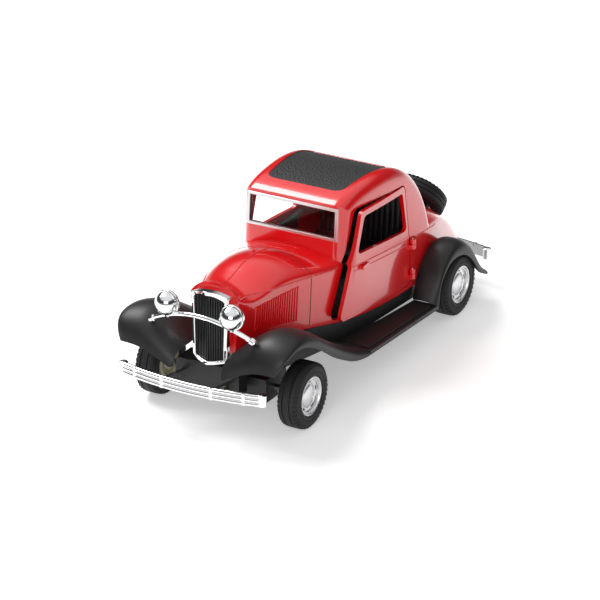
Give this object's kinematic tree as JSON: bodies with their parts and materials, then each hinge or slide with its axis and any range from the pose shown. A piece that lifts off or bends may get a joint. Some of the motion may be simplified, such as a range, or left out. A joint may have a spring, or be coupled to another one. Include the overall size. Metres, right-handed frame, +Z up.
{
  "type": "toy car",
  "caption": "Small free-rolling toy coupe with a friction motor on its rear axle, rear-hinged doors that open, separate fenders, running boards, lamps, bumpers and a spare wheel",
  "frame": {"origin": "On the ground, under the middle of the car's overall length and width", "axes": "+Z up, the car faces -Y, its left side is +X"},
  "size_m": [0.0492, 0.126, 0.0484],
  "materials": {
    "red_paint": "glossy bright red enamel on die-cast metal",
    "black_satin": "satin black moulded plastic",
    "roof_grain": "black pebble-grained insert",
    "chrome": "bright vacuum-plated plastic",
    "silver": "silver painted plastic",
    "glass": "clear moulded glazing",
    "rubber": "black rubber",
    "steel": "bright steel",
    "hub_cream": "cream moulded plastic",
    "gear_white": "natural acetal plastic",
    "cast_iron": "plain cast flywheel"
  },
  "bodies": {
    "root": {"body_shell": "red_paint", "roof_insert": "roof_grain", "chassis": "black_satin", "fender_front_left": "black_satin", "fender_front_right": "black_satin", "fender_rear_left": "black_satin", "fender_rear_right": "black_satin", "running_board_left": "black_satin", "running_board_right": "black_satin", "board_mat_left": "black_satin", "board_mat_right": "black_satin", "grille": "black_satin", "interior_tub": "black_satin", "bench_seat": "black_satin", "seat_back": "black_satin", "dashboard": "black_satin", "steering_wheel": "black_satin", "motor_case": "black_satin", "motor_lid": "black_satin", "hinge_pins": "steel", "body_screws": "steel", "radiator_shell": "chrome", "headlamp_bar": "chrome", "headlamp_left": "chrome", "headlamp_right": "chrome", "front_bumper": "chrome", "rear_bumper": "chrome", "bumper_brackets": "chrome", "lamp_lens_left": "glass", "lamp_lens_right": "glass", "windscreen_glass": "glass", "rear_window_glass": "glass", "windscreen_frame": "silver", "spare_wheel": "silver", "spare_tyre": "rubber", "spare_carrier": "black_satin"},
    "front_axle_set": {"front_axle": "steel", "tyre_front_left": "rubber", "tyre_front_right": "rubber", "wheel_disc_front_left": "silver", "wheel_disc_front_right": "silver", "wheel_hub_front_left": "hub_cream", "wheel_hub_front_right": "hub_cream"},
    "rear_axle_set": {"rear_axle": "steel", "axle_gear": "gear_white", "tyre_rear_left": "rubber", "tyre_rear_right": "rubber", "wheel_disc_rear_left": "silver", "wheel_disc_rear_right": "silver", "wheel_hub_rear_left": "hub_cream", "wheel_hub_rear_right": "hub_cream"},
    "idler_set": {"idler_gear": "gear_white", "idler_shaft": "steel"},
    "flywheel_set": {"flywheel": "cast_iron", "flywheel_pinion": "gear_white", "flywheel_shaft": "steel"},
    "door_left": {"door_left": "red_paint", "door_trim_left": "black_satin"},
    "door_right": {"door_right": "red_paint", "door_trim_right": "black_satin"}
  },
  "joints": [
    {"name": "front_wheels_roll", "type": "hinge", "parent": "root", "child": "front_axle_set", "pos_m": [0, -0.041, 0.00856], "axis": [1, 0, 0], "continuous": true},
    {"name": "rear_wheels_roll", "type": "hinge", "parent": "root", "child": "rear_axle_set", "pos_m": [0, 0.038, 0.00856], "axis": [1, 0, 0], "continuous": true},
    {"name": "idler_spin", "type": "hinge", "parent": "root", "child": "idler_set", "pos_m": [0, 0.03259, 0.01168], "axis": [1, 0, 0], "continuous": true},
    {"name": "flywheel_spin", "type": "hinge", "parent": "root", "child": "flywheel_set", "pos_m": [0, 0.02586, 0.01227], "axis": [1, 0, 0], "continuous": true},
    {"name": "door_left_swing", "type": "hinge", "parent": "root", "child": "door_left", "pos_m": [0.01765, 0.02127, 0.02], "axis": [0, 0, 1], "range_deg": [-4.5, 55]},
    {"name": "door_right_swing", "type": "hinge", "parent": "root", "child": "door_right", "pos_m": [-0.01765, 0.02127, 0.02], "axis": [0, 0, -1], "range_deg": [0, 59.5]}
  ],
  "couplings": [
    {"joint": "idler_spin", "follows": "rear_wheels_roll", "ratio": -1.7778},
    {"joint": "flywheel_spin", "follows": "rear_wheels_roll", "ratio": 3.5556}
  ]
}
